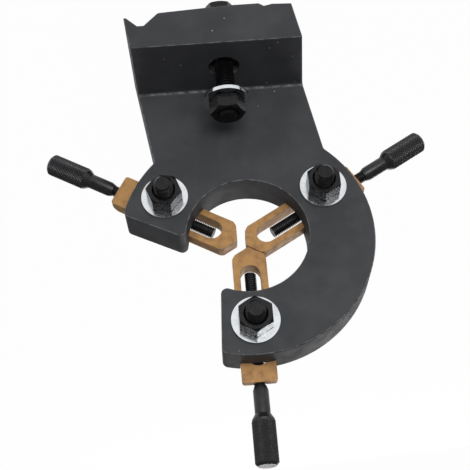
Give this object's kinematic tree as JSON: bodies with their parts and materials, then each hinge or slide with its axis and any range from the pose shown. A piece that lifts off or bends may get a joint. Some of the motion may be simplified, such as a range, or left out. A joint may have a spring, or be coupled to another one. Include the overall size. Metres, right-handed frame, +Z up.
{
  "type": "steady rest",
  "caption": "Open-sided steady rest for a small lathe: a C-shaped ring on an L-shaped foot, with bronze jaws moved by knurled thumbscrews and a bed clamping bolt.",
  "frame": {"origin": "on the bed seat under the foot, straight below the work axis, in the plane of the ring's front face", "axes": "+X across the bed towards the open mouth, +Y along the work axis from the front to the back, +Z up"},
  "size_m": [0.1655, 0.0557, 0.1925],
  "materials": {
    "frame_paint": "dark grey paint over a fine casting texture",
    "jaw_bronze": "machined bronze, satin",
    "black_steel": "black oxide, satin",
    "screw_steel": "black oxide, knurled grip",
    "bright_zinc": "bright zinc plate"
  },
  "bodies": {
    "frame": {"frame": "frame_paint", "top_jaw_bolt": "black_steel", "lower_left_jaw_bolt": "black_steel", "lower_right_jaw_bolt": "black_steel"},
    "top_jaw": {"top_jaw": "jaw_bronze"},
    "top_thumbscrew": {"top_thumbscrew": "screw_steel"},
    "top_washer": {"top_washer": "bright_zinc"},
    "top_nut": {"top_nut": "black_steel"},
    "lower_left_jaw": {"lower_left_jaw": "jaw_bronze"},
    "lower_left_thumbscrew": {"lower_left_thumbscrew": "screw_steel"},
    "lower_left_washer": {"lower_left_washer": "bright_zinc"},
    "lower_left_nut": {"lower_left_nut": "black_steel"},
    "lower_right_jaw": {"lower_right_jaw": "jaw_bronze"},
    "lower_right_thumbscrew": {"lower_right_thumbscrew": "screw_steel"},
    "lower_right_washer": {"lower_right_washer": "bright_zinc"},
    "lower_right_nut": {"lower_right_nut": "black_steel"},
    "bed_bolt": {"bed_bolt": "black_steel"},
    "bed_clamp_plate": {"bed_clamp_plate": "black_steel"},
    "bed_washer": {"bed_washer": "bright_zinc"},
    "bed_nut": {"bed_nut": "black_steel"}
  },
  "joints": [
    {"name": "top_jaw_slide", "type": "slide", "parent": "frame", "child": "top_jaw", "axis": [0, 0, 1], "range_m": [0, 0.02385]},
    {"name": "top_thumbscrew_turn", "type": "hinge", "parent": "top_jaw", "child": "top_thumbscrew", "pos_m": [0, 0.01335, 0.09], "axis": [0, 0, 1], "range_deg": [0, 10734]},
    {"name": "top_washer_slide", "type": "slide", "parent": "frame", "child": "top_washer", "axis": [0, -1, 0], "range_m": [0, 0.0025]},
    {"name": "top_nut_turn", "type": "hinge", "parent": "top_washer", "child": "top_nut", "pos_m": [0, 0, 0.1279], "axis": [0, -1, 0], "range_deg": [0, 721]},
    {"name": "lower_left_jaw_slide", "type": "slide", "parent": "frame", "child": "lower_left_jaw", "axis": [-0.866, 0, -0.5], "range_m": [0, 0.02575]},
    {"name": "lower_left_thumbscrew_turn", "type": "hinge", "parent": "lower_left_jaw", "child": "lower_left_thumbscrew", "pos_m": [0, 0.01335, 0.09], "axis": [-0.866, 0, -0.5], "range_deg": [0, 11589]},
    {"name": "lower_left_washer_slide", "type": "slide", "parent": "frame", "child": "lower_left_washer", "axis": [0, -1, 0], "range_m": [0, 0.0025]},
    {"name": "lower_left_nut_turn", "type": "hinge", "parent": "lower_left_washer", "child": "lower_left_nut", "pos_m": [-0.03282, 0, 0.07105], "axis": [0, -1, 0], "range_deg": [0, 721]},
    {"name": "lower_right_jaw_slide", "type": "slide", "parent": "frame", "child": "lower_right_jaw", "axis": [0.866, 0, -0.5], "range_m": [-0.0033, 0.0202]},
    {"name": "lower_right_thumbscrew_turn", "type": "hinge", "parent": "lower_right_jaw", "child": "lower_right_thumbscrew", "pos_m": [0, 0.01335, 0.09], "axis": [0.866, 0, -0.5], "range_deg": [-1486, 9091]},
    {"name": "lower_right_washer_slide", "type": "slide", "parent": "frame", "child": "lower_right_washer", "axis": [0, -1, 0], "range_m": [0, 0.0025]},
    {"name": "lower_right_nut_turn", "type": "hinge", "parent": "lower_right_washer", "child": "lower_right_nut", "pos_m": [0.03282, 0, 0.07105], "axis": [0, -1, 0], "range_deg": [0, 721]},
    {"name": "bed_bolt_slide", "type": "slide", "parent": "frame", "child": "bed_bolt", "axis": [0, 0, 1], "range_m": [-0.01, 0]},
    {"name": "bed_clamp_plate_turn", "type": "hinge", "parent": "bed_bolt", "child": "bed_clamp_plate", "pos_m": [0.0043, -0.01675, -0.004], "axis": [0, 0, 1], "range_deg": [-90, 90]},
    {"name": "bed_washer_slide", "type": "slide", "parent": "bed_bolt", "child": "bed_washer", "axis": [0, 0, 1], "range_m": [-0.0059, 0.00125]},
    {"name": "bed_nut_turn", "type": "hinge", "parent": "bed_washer", "child": "bed_nut", "pos_m": [0.0043, -0.01675, 0.0365], "axis": [0, 0, 1], "range_deg": [-1700, 361]}
  ],
  "couplings": [
    {"joint": "top_thumbscrew_turn", "follows": "top_jaw_slide", "rad_per_m": 7854},
    {"joint": "top_nut_turn", "follows": "top_washer_slide", "rad_per_m": 5026.5},
    {"joint": "lower_left_thumbscrew_turn", "follows": "lower_left_jaw_slide", "rad_per_m": 7854},
    {"joint": "lower_left_nut_turn", "follows": "lower_left_washer_slide", "rad_per_m": 5026.5},
    {"joint": "lower_right_thumbscrew_turn", "follows": "lower_right_jaw_slide", "rad_per_m": 7854},
    {"joint": "lower_right_nut_turn", "follows": "lower_right_washer_slide", "rad_per_m": 5026.5},
    {"joint": "bed_nut_turn", "follows": "bed_washer_slide", "rad_per_m": 5026.5}
  ]
}
